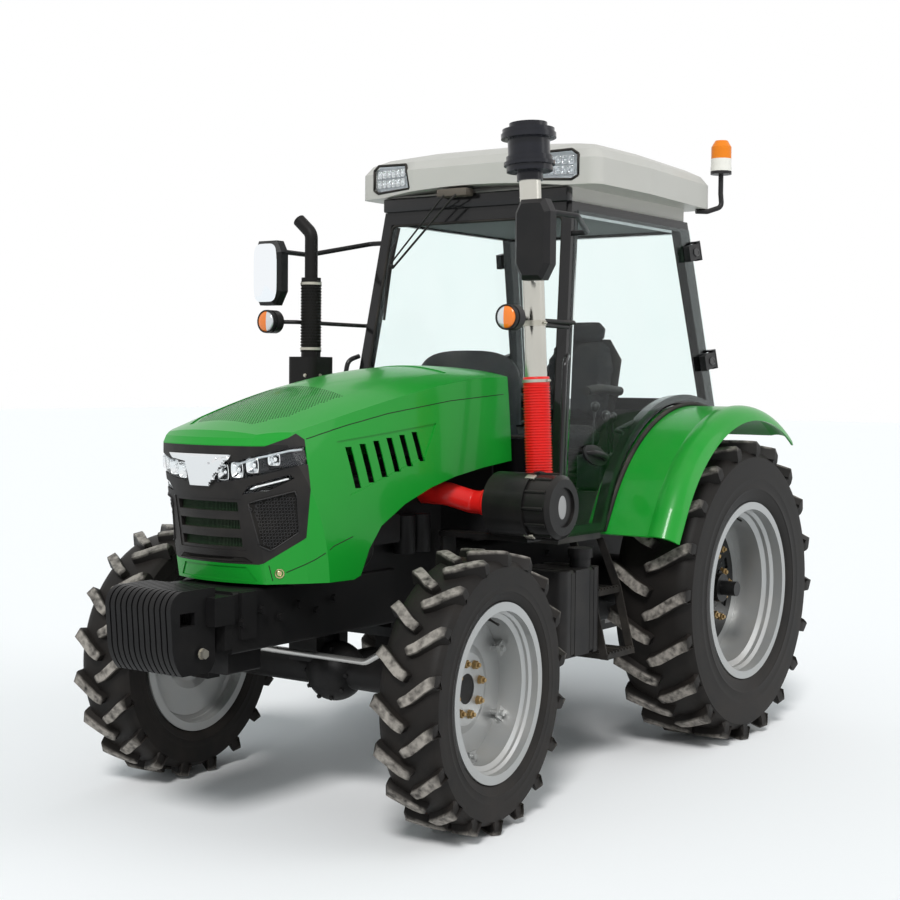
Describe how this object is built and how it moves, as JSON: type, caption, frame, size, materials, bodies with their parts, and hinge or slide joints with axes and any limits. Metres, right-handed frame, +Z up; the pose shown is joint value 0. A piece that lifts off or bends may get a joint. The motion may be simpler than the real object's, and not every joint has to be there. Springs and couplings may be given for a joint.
{
  "type": "farm tractor",
  "caption": "Four-wheel-drive farm tractor with a closed cab: hinged bonnet and doors, steered front wheels, rear three-point linkage, drawbar and power take-off stub.",
  "frame": {"origin": "on the ground under the middle of the bounding box, midway between the two axles", "axes": "+X to the left of the tractor, -Y forward, +Z up"},
  "size_m": [1.85, 3.9202, 2.7996],
  "materials": {
    "amber_lens": "gloss",
    "black_plastic": "satin",
    "cast_black": "rough",
    "frame_black": "satin",
    "green_paint": "gloss",
    "interior_grey": "matte",
    "lamp_lens": "gloss",
    "red_rubber": "satin",
    "rim_silver": "satin",
    "roof_plastic": "satin",
    "rubber_tyre": "matte",
    "seat_fabric": "matte",
    "steel": "brushed",
    "tinted_glass": "gloss"
  },
  "bodies": {
    "chassis": {"air_cleaner": "black_plastic", "battery_box": "black_plastic", "bulkhead": "black_plastic", "cab_floor": "frame_black", "cab_frame": "frame_black", "coolant_hose": "frame_black", "dashboard": "interior_grey", "drawbar": "frame_black", "drive_shaft": "frame_black", "driver_seat": "seat_fabric", "engine": "cast_black", "exhaust": "frame_black", "fenders": "green_paint", "front_axle": "cast_black", "front_bolster": "cast_black", "front_weights": "cast_black", "fuel_tank": "black_plastic", "intake_elbow": "red_rubber", "intake_hose": "red_rubber", "intake_tube": "steel", "mirrors": "black_plastic", "precleaner": "black_plastic", "radiator": "frame_black", "rear_window": "tinted_glass", "roof": "roof_plastic", "roof_lamps": "lamp_lens", "steering_wheel": "interior_grey", "steps": "frame_black", "transmission": "cast_black", "warning_lamps": "amber_lens", "weight_rack": "cast_black", "windscreen": "tinted_glass"},
    "bonnet": {"bonnet_panel": "green_paint", "front_mask": "black_plastic", "grille": "black_plastic", "headlamps": "lamp_lens"},
    "door_left": {"door_left": "tinted_glass", "door_hinges_left": "black_plastic"},
    "door_right": {"door_right": "tinted_glass", "door_hinges_right": "black_plastic"},
    "knuckle_left": {"knuckle_left": "cast_black"},
    "knuckle_right": {"knuckle_right": "cast_black"},
    "tie_rod": {"tie_rod": "frame_black"},
    "front_wheel_left": {"front_tyre_left": "rubber_tyre", "front_rim_left": "rim_silver"},
    "front_wheel_right": {"front_tyre_right": "rubber_tyre", "front_rim_right": "rim_silver"},
    "rear_wheel_left": {"rear_tyre_left": "rubber_tyre", "rear_rim_left": "rim_silver"},
    "rear_wheel_right": {"rear_tyre_right": "rubber_tyre", "rear_rim_right": "rim_silver"},
    "lift_arms": {"lift_arms": "frame_black"},
    "lift_rod_left": {"lift_rod_left": "frame_black"},
    "lift_rod_right": {"lift_rod_right": "frame_black"},
    "lower_link_left": {"lower_link_left": "frame_black"},
    "lower_link_right": {"lower_link_right": "frame_black"},
    "top_link": {"top_link": "frame_black"}
  },
  "joints": [
    {"name": "bonnet_hinge", "type": "hinge", "parent": "chassis", "child": "bonnet", "pos_m": [0, -0.215, 1.64], "axis": [-1, 0, 0], "range_deg": [0, 50]},
    {"name": "door_left_hinge", "type": "hinge", "parent": "chassis", "child": "door_left", "pos_m": [0.55485, 1.2228, 2.0175], "axis": [-0.0681, -0.2154, 0.9741], "range_deg": [0, 65]},
    {"name": "door_right_hinge", "type": "hinge", "parent": "chassis", "child": "door_right", "pos_m": [-0.55485, 1.2228, 2.0175], "axis": [-0.0681, 0.2154, -0.9741], "range_deg": [0, 65]},
    {"name": "steer_left", "type": "hinge", "parent": "chassis", "child": "knuckle_left", "pos_m": [0.645, -1, 0.515], "axis": [0, 0, 1], "range_deg": [-45, 35]},
    {"name": "steer_right", "type": "hinge", "parent": "chassis", "child": "knuckle_right", "pos_m": [-0.645, -1, 0.515], "axis": [0, 0, 1], "range_deg": [-45, 35]},
    {"name": "tie_rod_end", "type": "hinge", "parent": "knuckle_left", "child": "tie_rod", "pos_m": [0.65982, -1.16935, 0.663], "axis": [0, 0, 1], "range_deg": [-35, 45]},
    {"name": "front_left_spin", "type": "hinge", "parent": "knuckle_left", "child": "front_wheel_left", "pos_m": [0.645, -1, 0.515], "axis": [0.9962, 0.0872, 0], "continuous": true},
    {"name": "front_right_spin", "type": "hinge", "parent": "knuckle_right", "child": "front_wheel_right", "pos_m": [-0.645, -1, 0.515], "axis": [0.9962, 0.0872, 0], "continuous": true},
    {"name": "rear_left_spin", "type": "hinge", "parent": "chassis", "child": "rear_wheel_left", "pos_m": [0.732, 1, 0.69], "axis": [1, 0, 0], "continuous": true},
    {"name": "rear_right_spin", "type": "hinge", "parent": "chassis", "child": "rear_wheel_right", "pos_m": [-0.732, 1, 0.69], "axis": [1, 0, 0], "continuous": true},
    {"name": "lift_arms_turn", "type": "hinge", "parent": "chassis", "child": "lift_arms", "pos_m": [0, 1.15, 1.045], "axis": [1, 0, 0], "range_deg": [-10, 45]},
    {"name": "lower_link_left_pin", "type": "hinge", "parent": "chassis", "child": "lower_link_left", "pos_m": [0.215, 1.13, 0.52], "axis": [1, 0, 0], "range_deg": [-6.64, 29.88]},
    {"name": "lower_link_right_pin", "type": "hinge", "parent": "chassis", "child": "lower_link_right", "pos_m": [-0.215, 1.13, 0.52], "axis": [1, 0, 0], "range_deg": [-6.64, 29.88]},
    {"name": "lift_rod_left_pin", "type": "hinge", "parent": "lift_arms", "child": "lift_rod_left", "pos_m": [0.234, 1.42, 1], "axis": [1, 0, 0], "range_deg": [-44.01, 9.78]},
    {"name": "lift_rod_right_pin", "type": "hinge", "parent": "lift_arms", "child": "lift_rod_right", "pos_m": [-0.234, 1.42, 1], "axis": [1, 0, 0], "range_deg": [-44.01, 9.78]},
    {"name": "top_link_pin", "type": "hinge", "parent": "chassis", "child": "top_link", "pos_m": [0, 1.228, 0.95], "axis": [1, 0, 0], "range_deg": [-79, 0]}
  ],
  "couplings": [
    {"joint": "steer_right", "follows": "steer_left", "ratio": 1},
    {"joint": "tie_rod_end", "follows": "steer_left", "ratio": -1},
    {"joint": "lower_link_left_pin", "follows": "lift_arms_turn", "ratio": 0.664},
    {"joint": "lower_link_right_pin", "follows": "lift_arms_turn", "ratio": 0.664},
    {"joint": "lift_rod_left_pin", "follows": "lift_arms_turn", "ratio": -0.978},
    {"joint": "lift_rod_right_pin", "follows": "lift_arms_turn", "ratio": -0.978}
  ]
}
